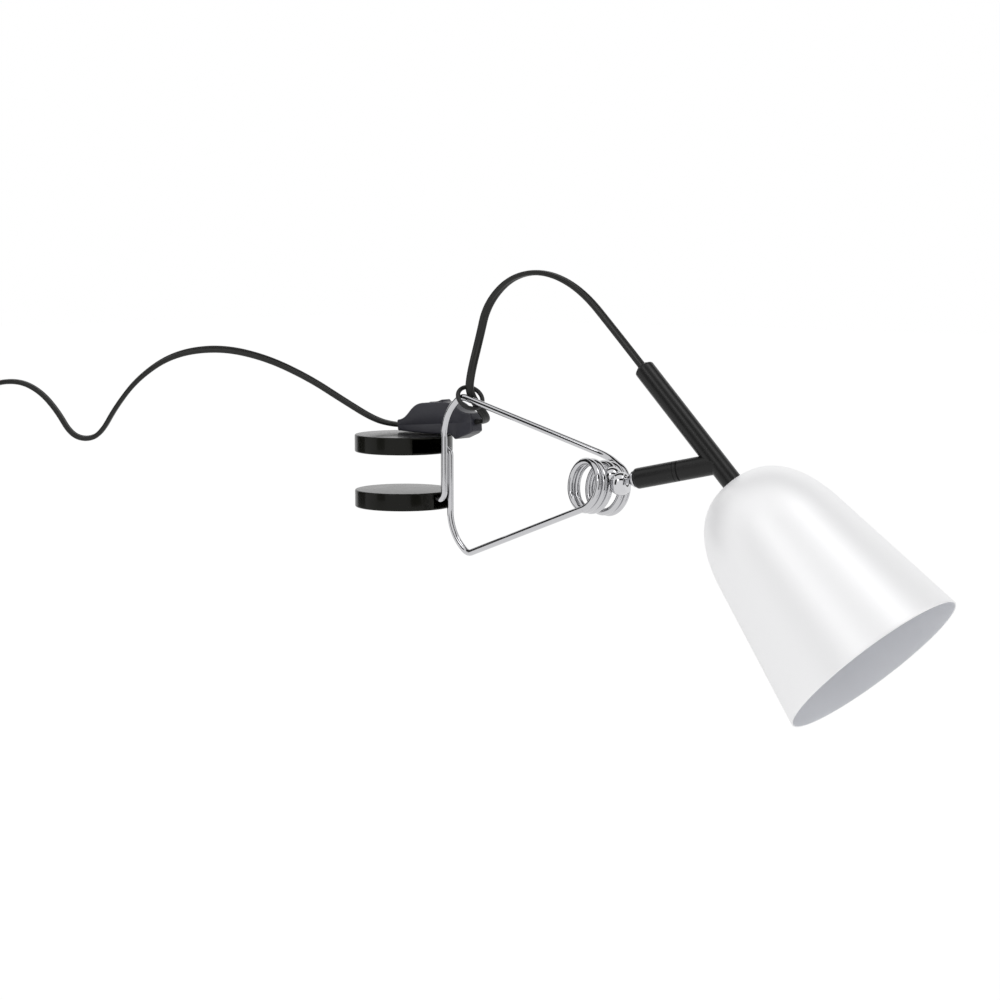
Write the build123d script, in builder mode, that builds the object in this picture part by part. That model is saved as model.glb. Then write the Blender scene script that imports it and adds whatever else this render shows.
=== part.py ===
from build123d import *
import os
from math import asin, ceil, cos, degrees, pi, radians, sin, sqrt, tan

# Clip-on spot lamp: a spring-wire clip with two round jaw pads, a small ball joint
# on the coil of the spring, a short black arm and a bell shade on a black tube.
#
# Frame, in millimetres: the origin is the centre of the upper pad's grip face, where
# the top of the board lies.  +X runs from the pads to the coil, +Z is up.

# ---------------------------------------------------------------- driving sizes
# board and jaw pads
board_gap = 22.0            # thickness of board in the jaw
pad_d = 56.8
pad_t = 10.0
pad_edge = 0.8              # rounding of the rim
pad_plate = 1.0             # thickness of the plates above and below the pocket
pocket_open = 17.4          # open side of the pocket, across the wire
pocket_wall = 5.3           # closed side of the pocket, across the wire
wire_in_pad = 3.6           # wire axis above the grip face
pivot_x = 4.0               # pad pivot, from the pad's centre
pivot_length = 11.0         # how far the wire end reaches into the pad's wall

# spring wire
wire_d = 3.8
leg_side = 2.65             # each leg stands this far off the middle plane
leg_reach = 33.5            # upright part of a leg, from the pad's centre
elbow_height = 33.8         # first elbow, from the middle of the jaw
handle_reach = 46.6         # second elbow
handle_height = 45.2
pivot_bend = 2.6
pad_bend = 4.4
elbow_bend = 27.0
handle_bend = 6.0
coil_reach = 141.6          # coil axis, from the pads
coil_d = 26.2               # through the wire's middle
coil_pitch = 3.95
coil_yaw = 14.7             # the clamped spring stands askew
coil_lean = 9.4
leg_angle = 69.6            # where the legs leave the coil, round from its far side
front_end = 720.0           # where the front turns end, round the coil
bridge_turn = 60.0          # the joint sits on this much of a turn
bridge_gap = 4.3            # room that it needs between the turns
leg_lead = 14.0             # straight wire between a turn and the leg's last bend
lead_bend = 24.0

# ball joint
cap_r = 5.5                 # rounded end of the socket that holds the wire
socket_r = 6.4
ball_r = 3.2
seat_wall = 0.6
neck_r = 1.8
socket_front = 1.9          # face of the socket, in front of the ball's middle
ball_forward = 6.1          # ball, from the wire, along the arm
ball_drop = 3.3
ball_aside = 1.8            # clear of the rear turns
socket_back = 1.6           # middle of the socket, behind the ball
socket_drop = 1.0
tongue_w = 6.4              # width of the socket between the turns
cone_start = 3.0
cone_end = 5.0
cone_r = 3.4
grub_d = 3.0
grub_length = 3.2
grub_hex = 1.5
shank_r = 2.4
stud_nut_af = 7.0
stud_nut_t = 2.4

# short arm
arm_yaw = 17.5
arm_rise = 12.4
tube_d = 11.2
tube_wall = 1.0
collar_d = 9.0
collar_t = 0.9
stub_start = 6.7            # from the ball
groove_at = 32.0
groove_w = 0.8
groove_depth = 0.7
line_back = 2.2             # fine line beside the groove
line_w = 0.3
line_depth = 0.3
stub_length = 53.7          # ball to the axis of the long tube
stub_round = 2.2
stub_wall_end = 3.0         # closed end behind the collar
sleeve_wall = 1.2
sleeve_length = 22.0

# long tube and its ends
tee_angle = 60.0            # between short arm and long tube
tee_turn = 10.6             # head turned about the short arm
tube_up = 67.5              # axis crossing to the upper end
tube_down = 14.8            # axis crossing to the shade
tube_end_t = 4.0            # closed ends of the long tube
tube_round = 1.6
bush_d = 6.0
bush_flange_d = 7.4
bush_flange = 0.5
bush_stand = 1.0
nipple_d = 8.0
nipple_bore = 5.2
nipple_above = 7.0          # into the tube, from its lower end
nipple_below = 12.0
nut_af = 11.0
nut_t = 3.0
washer_d = 13.0
washer_t = 1.0

# shade
shade_wall = 0.8
shade_top_d = 13.0
bell_d = 77.2               # where the bell turns into a cone
bell_height = 39.6
mouth_d = 103.0
shade_height = 119.0
shoulder_pull = 17.0        # how far the curve runs flat at the top
flank_pull = 24.0           # and along the cone at its lower end

# lampholder
holder_cap_d = 30.0
holder_cap_h = 15.0
holder_cap_top = 3.0
holder_wall = 1.8
holder_round = 3.0
holder_d = 25.0
holder_h = 34.0
holder_grip = 6.0           # screwed into the cap
holder_floor = 8.0
lamp_thread_d = 14.2
shell_wall = 0.5
shell_h = 20.0
shell_lip = 2.0
contact_w = 4.0
contact_l = 8.0
contact_t = 0.6
contact_lift = 2.5
contact_room = 0.6          # free height over the bent contact
terminal_d = 3.0
terminal_l = 5.0
terminal_head_d = 4.4
terminal_head_t = 1.4
terminal_spacing = 12.0

# cord and what is on it
cord_d = 4.2
exit_run = 24.0             # straight cord out of the long tube
entry_run = 5.5             # and into the switch
ring_d = 14.6               # through the ring's middle
ring_wire = 2.5
ring_spot = (50.76, 0.18, 33.18)
ring_axis = (0.718, -0.33, 0.613)
switch_length = 58.0
switch_width = 16.0
switch_end_w = 9.5          # width of the two ends
switch_top = 12.4           # hump, above the seam
switch_bottom = 6.1         # belly, below the seam
nose_h = 3.2                # half height of the two ends
tail_h = 5.2
switch_round = 1.6           # upright corners
switch_soft = 1.0            # edges away from the seam
switch_rise = 4.5
switch_x = -14.4            # tip of the nose
switch_y = 14.6
switch_lift = 0.35          # over the pad
hump_start = 24.0
hump_end = 38.0
belly_start = 34.0
belly_end = 43.0
keel_start = 46.0           # deepest past the pad
keel_end = 55.0
keel_drop = 9.4
keel_rear = 6.8
rocker_d = 14.0             # its round ends turn about the pin
rocker_w = 7.0
rocker_sink = 4.2           # pin below the hump
rocker_keel = 2.0           # rocker below the pin
rocker_ends = 1.2           # raised ends and dished middle, over the hump
rocker_dish = 0.1
rocker_angle = 6.0
rocker_pin_d = 2.0
rocker_pin_l = 12.0
switch_screw_d = 2.5
switch_screw_head_d = 4.4
switch_screw_head_t = 1.6
switch_screw_l = 7.0
switch_screw_in = 9.0       # from each end
lead_coil_spot = (-292.0, -186.0)
lead_coil_d = 52.0          # through the middle of the turns
lead_coil_w = 14.6
lead_coil_h = 12.6
lead_coil_round = 3.0
lead_heading = 203.0        # the lead runs this way at its end
lead_stub = 2.0
coil_entry = 10.0           # straight cord into the coil
tie_w = 9.0
tie_t = 1.2
plug_face_w = 35.6
plug_t = 13.6
plug_shoulder = 18.0
plug_l = 33.0
plug_tail_w = 16.0
plug_round = 3.0
plug_neck_l = 14.0
plug_neck_d = 9.6
plug_neck_tip_d = 6.4
pin_d = 4.0
pin_spacing = 18.6
pin_length = 19.0
pin_root = 8.0

running_fit = 0.06          # shaft in bore, each side
clearance = 0.3             # between pieces that only pass each other
joint_gap = 0.1             # wire to wire where the spring flexes

wire_r = wire_d / 2
tube_r = tube_d / 2
bore_r = tube_r - tube_wall
cord_r = cord_d / 2
jaw_middle = -board_gap / 2

# routes of the free cord between its straight ends
loop_route = [
    (122.5, 9.4, 95.2), (99.0, 6.6, 105.0), (77.0, 4.6, 101.5), (60.5, 3.4, 86.0),
    (53.5, 5.0, 66.5), (53.6, -2.5, 47.5), (48.66, 1.33, 35.64), (54.13, 7.3, 24.63),
    (53.14, 11.57, 20.9),
]
lead_route = [
    (-30.5, 8.5, 16.0), (-44.0, -3.0, 27.0), (-62.0, -15.5, 41.0), (-84.0, -30.0, 53.0),
    (-107.0, -45.0, 58.5), (-130.0, -60.0, 54.5), (-148.0, -71.5, 40.5),
    (-160.1, -78.9, 23.3), (-168.6, -84.3, 6.0), (-176.5, -89.3, 2.6), (-184.4, -94.3, 6.0),
    (-191.2, -98.6, 19.9), (-200.0, -104.0, 31.5), (-211.0, -111.0, 37.8),
    (-226.0, -119.5, 36.0), (-240.0, -127.5, 26.0), (-252.5, -134.5, 13.0),
    (-263.5, -140.5, 4.4),
]


# ---------------------------------------------------------------- helpers
def export(part, name):
    """Label a finished piece and write it."""
    part.part.label = name
    export_step(part.part, f"parts/{name}.step")


def along(yaw, rise):
    """Unit vector that points yaw degrees round from +X and rise degrees up."""
    level = cos(radians(rise))
    return Vector(level * cos(radians(yaw)), level * sin(radians(yaw)), sin(radians(rise)))


def square_to(path, at):
    """Plane square to a path at one place."""
    return Plane(origin=path @ at, z_dir=path % at)


def turn_at(points, i):
    """Turn of a route at its point i, in degrees."""
    before = Vector(points[i]) - Vector(points[i - 1])
    after = Vector(points[i + 1]) - Vector(points[i])
    return before.get_angle(after)


def free_radii(points):
    """Bend radius at each corner of a free cord: as large as its two runs allow."""
    radii = []
    for i in range(1, len(points) - 1):
        before = (Vector(points[i]) - Vector(points[i - 1])).length
        after = (Vector(points[i + 1]) - Vector(points[i])).length
        radii.append(0.45 * min(before, after) / tan(radians(turn_at(points, i)) / 2))
    return radii


# ---------------------------------------------------------------- jaw pads
def jaw_pad(face_z, up, wall_side):
    """A round pad that pivots on a wire end.

    face_z is the height of its grip face, up is +1 or -1 for the side its body lies
    on, and wall_side is the side of the pocket, +1 or -1 in Y, that holds the pivot.
    """
    middle = face_z + up * pad_t / 2
    pocket_x = pivot_x - wire_r - clearance
    pocket_l = pad_d / 2 - pocket_x + 1
    pocket_w = pocket_open + pocket_wall
    pocket_y = wall_side * (pocket_wall - pocket_open) / 2
    with BuildPart() as pad:
        with BuildSketch(Plane.XY.offset(middle)):
            Circle(pad_d / 2)
        extrude(amount=pad_t / 2, both=True)
        fillet(pad.edges().filter_by(GeomType.CIRCLE), pad_edge)
        with BuildSketch(Plane.XY.offset(middle)):
            with Locations((pocket_x + pocket_l / 2, pocket_y)):
                Rectangle(pocket_l, pocket_w)
        extrude(amount=pad_t / 2 - pad_plate, both=True, mode=Mode.SUBTRACT)
        pivot = Plane(origin=(pivot_x, 0, face_z + up * wire_in_pad), z_dir=(0, wall_side, 0))
        with BuildSketch(pivot.offset(leg_side)):
            Circle(wire_r + running_fit)
        extrude(amount=pivot_length + clearance, mode=Mode.SUBTRACT)
    return pad


# ---------------------------------------------------------------- spring wire
coil_axis = Vector(
    sin(radians(coil_yaw)) * cos(radians(coil_lean)),
    cos(radians(coil_yaw)) * cos(radians(coil_lean)),
    -sin(radians(coil_lean)),
)
coil_middle = Plane(
    origin=(coil_reach, 0, jaw_middle),
    x_dir=(cos(radians(coil_yaw)), -sin(radians(coil_yaw)), 0),
    z_dir=coil_axis,
)
bridge_rise = coil_pitch * bridge_turn / 360 + bridge_gap
front_turn = front_end + leg_angle
rear_start = front_end + bridge_turn
rear_turn = ceil(rear_start / 360) * 360 + 360 + leg_angle - rear_start
front_rise = coil_pitch * front_turn / 360
rear_rise = coil_pitch * rear_turn / 360
coil_start = -(front_rise + bridge_rise + rear_rise) / 2


def coil_point(angle, height):
    """Place on the wire's axis, angle degrees round the coil and height along it."""
    a = radians(angle)
    local = Vector(coil_d / 2 * cos(a), -coil_d / 2 * sin(a), height)
    return coil_middle.from_local_coords(local)


def turns(angle, height, turn, rise):
    """Part of the coil: its path, from an angle and a height, over a turn and a rise."""
    centre = coil_middle.offset(height).origin
    start = Plane(origin=centre, x_dir=coil_point(angle, height) - centre, z_dir=coil_axis)
    return start * Helix(360 * rise / turn, rise, coil_d / 2, lefthand=True)


def coil_piece(path, radius=wire_r):
    """Round wire, or the room for it, along part of the coil."""
    with BuildPart() as piece:
        with BuildLine() as axis:
            add(path)
        with BuildSketch(square_to(axis.line, 0)):
            Circle(radius)
        sweep(path=axis.wires()[0], is_frenet=True)
    return piece


def leg(side, face_z, coil_end, heading):
    """One leg of the spring: pivot, upright, handle bend and the run to the coil.

    side is +1 for the leg that stands at +Y and -1 for the other.  Each leg crosses
    the jaw, so the leg of the upper pad has its handle below the board.
    """
    y = side * leg_side
    pad_z = face_z + side * wire_in_pad
    points = [
        (pivot_x, y + side * pivot_length, pad_z),
        (pivot_x, y, pad_z),
        (leg_reach, y, pad_z),
        (leg_reach, y, jaw_middle - side * elbow_height),
        (handle_reach, y, jaw_middle - side * handle_height),
        tuple(coil_end - heading * leg_lead),
        tuple(coil_end - heading * joint_gap),
    ]
    with BuildPart() as wire:
        with BuildLine() as axis:
            FilletPolyline(*points, radius=[pivot_bend, pad_bend, elbow_bend, handle_bend, lead_bend])
        with BuildSketch(square_to(axis.line, 0)):
            Circle(wire_r)
        sweep(path=axis.wires()[0])
    return wire


# ---------------------------------------------------------------- build: pads and wire
upper_pad = jaw_pad(0, 1, 1)
lower_pad = jaw_pad(-board_gap, -1, -1)

front_path = turns(-leg_angle, coil_start, front_turn, front_rise)
bridge_path = turns(front_end, coil_start + front_rise, bridge_turn, bridge_rise)
rear_low = coil_start + front_rise + bridge_rise
rear_path = turns(rear_start, rear_low, rear_turn, rear_rise)
front_coil = coil_piece(front_path)
coil_bridge = coil_piece(bridge_path)
rear_coil = coil_piece(rear_path)
lower_leg = leg(1, 0, front_path @ 0, front_path % 0)
upper_leg = leg(-1, -board_gap, rear_path @ 1, -(rear_path % 1))

# ---------------------------------------------------------------- ball joint
arm_ahead = along(arm_yaw, arm_rise)
arm_above = along(arm_yaw, arm_rise + 90)
arm_across = arm_above.cross(arm_ahead)
wire_spot = bridge_path @ 0.5
ball_spot = wire_spot + arm_ahead * ball_forward - arm_above * ball_drop - arm_across * ball_aside
arm_plane = Plane(origin=ball_spot, x_dir=arm_across, z_dir=arm_ahead)
socket_spot = ball_spot - arm_ahead * socket_back - arm_above * socket_drop
seat_out_r = ball_r + running_fit + seat_wall
coil_room_r = coil_d / 2 + wire_r + clearance
bridge_height = coil_start + front_rise + bridge_rise / 2

with BuildPart() as coil_room:
    with BuildSketch(coil_middle.offset(bridge_height)):
        Circle(coil_room_r)
    extrude(amount=coil_d, both=True)
    with BuildSketch(coil_middle.offset(bridge_height)):
        Circle(coil_room_r + 1)
    extrude(amount=tongue_w / 2, both=True, mode=Mode.SUBTRACT)

wire_room = coil_piece(bridge_path, wire_r + running_fit)
front_room = coil_piece(front_path, wire_r + clearance)
rear_room = coil_piece(rear_path, wire_r + clearance)

with BuildPart() as socket_body:
    with Locations(wire_spot):
        Sphere(cap_r)
    with Locations(socket_spot):
        Sphere(socket_r)
    split(bisect_by=arm_plane.offset(socket_front), keep=Keep.BOTTOM)
    with Locations(ball_spot):
        Sphere(seat_out_r + running_fit, mode=Mode.SUBTRACT)
    add(coil_room.part, mode=Mode.SUBTRACT)
    add(front_room.part, mode=Mode.SUBTRACT)
    add(rear_room.part, mode=Mode.SUBTRACT)
    add(wire_room.part, mode=Mode.SUBTRACT)
    grub_plane = Plane(origin=wire_spot, z_dir=arm_ahead)
    with BuildSketch(grub_plane.offset(-wire_r)):
        Circle(grub_d / 2 + running_fit)
    extrude(amount=-cap_r, mode=Mode.SUBTRACT)

with BuildPart() as grub_screw:
    with BuildSketch(grub_plane.offset(-wire_r - clearance)):
        Circle(grub_d / 2)
    extrude(amount=-grub_length)
    with BuildSketch(grub_plane.offset(-wire_r - clearance - grub_length)):
        RegularPolygon(grub_hex / 2, 6, major_radius=False)
    extrude(amount=grub_length / 2, mode=Mode.SUBTRACT)

arm_side = Plane(origin=ball_spot, x_dir=arm_across, z_dir=-arm_above)
arm_axis = Axis(ball_spot, arm_ahead)
with BuildPart() as ball_seat:
    with BuildSketch(arm_side):
        with BuildLine():
            seat_out = CenterArc((0, 0), seat_out_r, -90, 90 + degrees(asin(socket_front / seat_out_r)))
            seat_in = CenterArc(
                (0, 0), ball_r + running_fit, -90, 90 + degrees(asin(socket_front / (ball_r + running_fit)))
            )
            Line(seat_out @ 0, seat_in @ 0)
            Line(seat_out @ 1, seat_in @ 1)
        make_face()
    revolve(axis=arm_axis)

shank_end = stub_start + stub_wall_end + stud_nut_t + 1
with BuildPart() as ball_stud:
    with BuildSketch(arm_side):
        with BuildLine():
            ball_arc = CenterArc((0, 0), ball_r, -90, 180 - degrees(asin(neck_r / ball_r)))
            Polyline(
                ball_arc @ 1,
                (neck_r, cone_start),
                (cone_r, cone_end),
                (shank_r, cone_end),
                (shank_r, shank_end),
                (0, shank_end),
                ball_arc @ 0,
            )
        make_face()
    revolve(axis=arm_axis)

with BuildPart() as joint_collar:
    with BuildSketch(arm_plane.offset(stub_start - collar_t)):
        Circle(collar_d / 2)
        Circle(shank_r + running_fit, mode=Mode.SUBTRACT)
    extrude(amount=collar_t)
    fillet(joint_collar.edges().filter_by(GeomType.CIRCLE).group_by(SortBy.RADIUS)[-1], collar_t / 3)

# ---------------------------------------------------------------- short arm
stub_gap = groove_w / 2
with BuildPart() as stub_base:
    with BuildSketch(arm_plane.offset(stub_start)):
        Circle(tube_r)
    extrude(amount=groove_at - stub_gap - stub_start)
    start_rim = stub_base.edges().filter_by(GeomType.CIRCLE).sort_by(arm_axis)[0]
    fillet(start_rim, stub_round)
    with BuildSketch(arm_plane.offset(groove_at - line_back)):
        Circle(tube_r)
        Circle(tube_r - line_depth, mode=Mode.SUBTRACT)
    extrude(amount=-line_w, mode=Mode.SUBTRACT)
    with BuildSketch(arm_plane.offset(stub_start + stub_wall_end)):
        Circle(bore_r)
    extrude(amount=groove_at, mode=Mode.SUBTRACT)
    with BuildSketch(arm_plane.offset(stub_start)):
        Circle(shank_r + running_fit)
    extrude(amount=stub_wall_end, mode=Mode.SUBTRACT)

with BuildPart() as stud_nut:
    with BuildSketch(arm_plane.offset(stub_start + stub_wall_end)):
        RegularPolygon(stud_nut_af / 2, 6, major_radius=False)
        Circle(shank_r + running_fit, mode=Mode.SUBTRACT)
    extrude(amount=stud_nut_t)

with BuildPart() as swivel_sleeve:
    with BuildSketch(arm_plane.offset(groove_at - sleeve_length / 2)):
        Circle(bore_r - running_fit)
        Circle(bore_r - running_fit - sleeve_wall, mode=Mode.SUBTRACT)
    extrude(amount=sleeve_length)

with BuildPart() as swivel_washer:
    with BuildSketch(arm_plane.offset(groove_at - stub_gap)):
        Circle(tube_r - groove_depth)
        Circle(bore_r, mode=Mode.SUBTRACT)
    extrude(amount=groove_w - running_fit)

# ---------------------------------------------------------------- long tube
tee_lean = radians(tee_angle)
tee_roll = radians(tee_turn)
tube_local = Vector(-sin(tee_lean) * sin(tee_roll), -sin(tee_lean) * cos(tee_roll), cos(tee_lean))
tube_ahead = (arm_plane.from_local_coords(tube_local) - ball_spot).normalized()
crossing = ball_spot + arm_ahead * stub_length
tube_plane = Plane(origin=crossing, x_dir=tube_ahead.cross(arm_ahead), z_dir=tube_ahead)
tube_side = Plane(crossing, tube_plane.x_dir, -tube_plane.y_dir)
tube_axis = Axis(crossing, tube_ahead)

with BuildPart() as arm_tube:
    with BuildSketch(tube_plane.offset(-tube_up)):
        Circle(tube_r)
    extrude(amount=tube_up + tube_down)
    top_rim = arm_tube.edges().filter_by(GeomType.CIRCLE).sort_by(tube_axis)[0]
    fillet(top_rim, tube_round)
    with BuildSketch(tube_plane.offset(tube_end_t - tube_up)):
        Circle(bore_r)
    extrude(amount=tube_up + tube_down - 2 * tube_end_t, mode=Mode.SUBTRACT)
    with BuildSketch(tube_plane.offset(-tube_up)):
        Circle(bush_d / 2 + running_fit)
    extrude(amount=tube_end_t, mode=Mode.SUBTRACT)
    with BuildSketch(tube_plane.offset(tube_down - tube_end_t)):
        Circle(nipple_d / 2 + running_fit)
    extrude(amount=tube_end_t, mode=Mode.SUBTRACT)

with BuildPart() as tee_stub:
    with BuildSketch(arm_plane.offset(groove_at + stub_gap)):
        Circle(tube_r)
    extrude(amount=stub_length - groove_at - stub_gap)
    with BuildSketch(tube_plane):
        Circle(tube_r)
    extrude(amount=2 * tube_d, both=True, mode=Mode.SUBTRACT)
    with BuildSketch(arm_plane.offset(groove_at)):
        Circle(bore_r)
    extrude(amount=sleeve_length / 2 + 1, mode=Mode.SUBTRACT)

with BuildPart() as cord_bush:
    with BuildSketch(tube_plane.offset(-tube_up)):
        Circle(bush_d / 2)
    extrude(amount=tube_end_t)
    with BuildSketch(tube_plane.offset(-tube_up)):
        Circle(bush_flange_d / 2)
    extrude(amount=-bush_flange)
    with BuildSketch(tube_plane.offset(-tube_up - bush_flange)):
        Circle(bush_d / 2)
    extrude(amount=bush_flange - bush_stand)
    with BuildSketch(tube_plane.offset(-tube_up - bush_stand)):
        Circle(cord_r + running_fit)
    extrude(amount=bush_stand + tube_end_t, mode=Mode.SUBTRACT)

with BuildPart() as nipple:
    with BuildSketch(tube_plane.offset(tube_down - nipple_above)):
        Circle(nipple_d / 2)
        Circle(nipple_bore / 2, mode=Mode.SUBTRACT)
    extrude(amount=nipple_above + nipple_below)

# ---------------------------------------------------------------- shade
flank = Vector(mouth_d - bell_d, 2 * (shade_height - bell_height)).normalized()


def bell_outline(depth):
    """Outline of the shade, depth inside its outer face, from the hole to the mouth."""
    inward = Vector(-flank.Y, flank.X) * depth
    hole = Vector(nipple_d / 2 + clearance, tube_down + depth)
    shoulder = Vector(shade_top_d / 2, tube_down + depth)
    bell_end = Vector(bell_d / 2, tube_down + bell_height) + inward
    mouth = Vector(mouth_d / 2, tube_down + shade_height) + inward
    Line(hole, shoulder)
    Bezier(shoulder, shoulder + Vector(shoulder_pull, 0), bell_end - flank * flank_pull, bell_end)
    Line(bell_end, mouth)
    return hole, mouth


with BuildPart() as shade:
    with BuildSketch(tube_side):
        with BuildLine():
            outer_hole, outer_mouth = bell_outline(0)
            inner_hole, inner_mouth = bell_outline(shade_wall)
            Line(outer_hole, inner_hole)
            Line(outer_mouth, inner_mouth)
        make_face()
    revolve(axis=tube_axis)

# ---------------------------------------------------------------- lampholder
under_shade = tube_down + shade_wall
with BuildPart() as shade_washer:
    with BuildSketch(tube_plane.offset(under_shade)):
        Circle(washer_d / 2)
        Circle(nipple_d / 2 + running_fit, mode=Mode.SUBTRACT)
    extrude(amount=washer_t)

with BuildPart() as lock_nut:
    with BuildSketch(tube_plane.offset(under_shade + washer_t)):
        RegularPolygon(nut_af / 2, 6, major_radius=False)
        Circle(nipple_d / 2 + running_fit, mode=Mode.SUBTRACT)
    extrude(amount=nut_t)

cap_start = under_shade + washer_t + nut_t
with BuildPart() as holder_cap:
    with BuildSketch(tube_plane.offset(cap_start)):
        Circle(holder_cap_d / 2)
    extrude(amount=holder_cap_h)
    cap_rim = holder_cap.edges().filter_by(GeomType.CIRCLE).sort_by(tube_axis)[0]
    fillet(cap_rim, holder_round)
    with BuildSketch(tube_plane.offset(cap_start + holder_cap_top)):
        Circle(holder_cap_d / 2 - holder_wall)
    extrude(amount=holder_cap_h, mode=Mode.SUBTRACT)
    with BuildSketch(tube_plane.offset(cap_start)):
        Circle(nipple_d / 2 + running_fit)
    extrude(amount=holder_cap_top, mode=Mode.SUBTRACT)

holder_start = cap_start + holder_cap_h - holder_grip
floor_at = holder_start + holder_floor
shell_at = floor_at + contact_lift + contact_t + contact_room
shell_r = lamp_thread_d / 2 + shell_wall
with BuildPart() as holder_body:
    with BuildSketch(tube_plane.offset(holder_start)):
        Circle(holder_cap_d / 2 - holder_wall - running_fit)
    extrude(amount=holder_grip)
    with BuildSketch(tube_plane.offset(holder_start)):
        Circle(holder_d / 2)
    extrude(amount=holder_h)
    with BuildSketch(tube_plane.offset(floor_at)):
        Circle(lamp_thread_d / 2 - shell_lip)
    extrude(amount=shell_at - floor_at, mode=Mode.SUBTRACT)
    with BuildSketch(tube_plane.offset(shell_at)):
        Circle(shell_r + running_fit)
    extrude(amount=holder_h, mode=Mode.SUBTRACT)
    with BuildSketch(tube_plane.offset(holder_start)):
        with GridLocations(terminal_spacing, 0, 2, 1):
            Circle(terminal_d / 2 + running_fit)
    extrude(amount=terminal_l, mode=Mode.SUBTRACT)

with BuildPart() as holder_terminals:
    with BuildSketch(tube_plane.offset(holder_start)):
        with GridLocations(terminal_spacing, 0, 2, 1):
            Circle(terminal_d / 2)
    extrude(amount=terminal_l)
    with BuildSketch(tube_plane.offset(holder_start)):
        with GridLocations(terminal_spacing, 0, 2, 1):
            Circle(terminal_head_d / 2)
    extrude(amount=-terminal_head_t)

with BuildPart() as contact_sleeve:
    with BuildSketch(tube_plane.offset(shell_at)):
        Circle(shell_r)
        Circle(lamp_thread_d / 2, mode=Mode.SUBTRACT)
    extrude(amount=shell_h)
    with BuildSketch(tube_plane.offset(shell_at)):
        Circle(shell_r)
        Circle(lamp_thread_d / 2 - shell_lip, mode=Mode.SUBTRACT)
    extrude(amount=shell_wall)

with BuildPart() as centre_contact:
    with BuildSketch(tube_side):
        with BuildLine():
            Polyline(
                (-contact_l / 2, floor_at),
                (contact_t, floor_at),
                (contact_l / 2, floor_at + contact_lift),
            )
            offset(amount=contact_t, side=Side.LEFT)
        make_face()
    extrude(amount=contact_w / 2, both=True)

with BuildPart() as inner_lead:
    with BuildSketch(tube_plane.offset(-tube_up - bush_stand)):
        Circle(cord_r)
    extrude(amount=tube_up + bush_stand + holder_start)

# ---------------------------------------------------------------- switch
rise = radians(switch_rise)
nose_seat = nose_h * cos(rise)
belly_seat = switch_bottom * cos(rise) - belly_start * sin(rise)
nose = Vector(switch_x, switch_y, pad_t + switch_lift + max(nose_seat, belly_seat))
switch_side = Plane(origin=nose, x_dir=(cos(rise), 0, sin(rise)), z_dir=(0, -1, 0))
switch_plan = Plane(origin=nose, x_dir=switch_side.x_dir, z_dir=switch_side.y_dir)
rocker_x = (hump_start + hump_end) / 2
rocker_turn = Plane(
    origin=switch_side.from_local_coords(Vector(rocker_x, switch_top - rocker_sink, 0)),
    x_dir=switch_side.x_dir,
    z_dir=switch_side.z_dir,
)
screw_spots = [switch_screw_in, switch_length - switch_screw_in]


def off_seam(edge):
    """Distance of an edge's middle from the seam between the two halves."""
    return abs(switch_plan.to_local_coords(edge.center()).Z)


def half_switch(side_curve):
    """Half of the switch's housing, from its outline above or below the seam."""
    middle = switch_length / 2
    with BuildPart() as half:
        with BuildSketch(switch_side):
            with BuildLine():
                side_curve()
            make_face()
        extrude(amount=switch_width / 2, both=True)
        with BuildSketch(switch_plan) as plan:
            with BuildLine():
                right = ThreePointArc(
                    (0, -switch_end_w / 2), (middle, -switch_width / 2), (switch_length, -switch_end_w / 2)
                )
                left = ThreePointArc(
                    (0, switch_end_w / 2), (middle, switch_width / 2), (switch_length, switch_end_w / 2)
                )
                Line(right @ 0, left @ 0)
                Line(right @ 1, left @ 1)
            make_face()
            fillet(plan.sketch_local.vertices(), switch_round)
        extrude(amount=switch_length, both=True, mode=Mode.INTERSECT)
        far = [edge for edge in half.edges() if off_seam(edge) > nose_h - switch_soft / 2]
        fillet(far, switch_soft)
    return half


def cover_curve():
    """Outline over the seam: a hump that carries the rocker."""
    nose_top = Vector(0, nose_h)
    hump_from = Vector(hump_start, switch_top)
    hump_to = Vector(hump_end, switch_top)
    tail_top = Vector(switch_length, tail_h)
    reach = hump_start / 2
    rear_reach = (switch_length - hump_end) / 2
    Line((0, 0), nose_top)
    Bezier(nose_top, nose_top + Vector(reach, 0), hump_from - Vector(reach, 0), hump_from)
    Line(hump_from, hump_to)
    Bezier(hump_to, hump_to + Vector(rear_reach, 0), tail_top - Vector(rear_reach, 0), tail_top)
    Line(tail_top, (switch_length, 0))
    Line((switch_length, 0), (0, 0))


def base_curve():
    """Outline under the seam: straight tapers to a flat belly."""
    Polyline(
        (0, 0),
        (0, -nose_h),
        (belly_start, -switch_bottom),
        (belly_end, -switch_bottom),
        (keel_start, -keel_drop),
        (keel_end, -keel_rear),
        (switch_length, -tail_h),
        (switch_length, 0),
        close=True,
    )


cover_half = half_switch(cover_curve)
with BuildPart() as switch_cover:
    add(cover_half.part)
    with BuildSketch(rocker_turn):
        Circle(rocker_d / 2 + clearance)
    extrude(amount=rocker_w / 2 + clearance, both=True, mode=Mode.SUBTRACT)
    with BuildSketch(rocker_turn):
        Circle(rocker_pin_d / 2 + running_fit)
    extrude(amount=rocker_pin_l / 2 + running_fit, both=True, mode=Mode.SUBTRACT)
    with BuildSketch(switch_plan):
        with Locations(*[(at, 0) for at in screw_spots]):
            Circle(switch_screw_d / 2 + running_fit)
    extrude(amount=switch_screw_l - nose_h / 2, mode=Mode.SUBTRACT)

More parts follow.
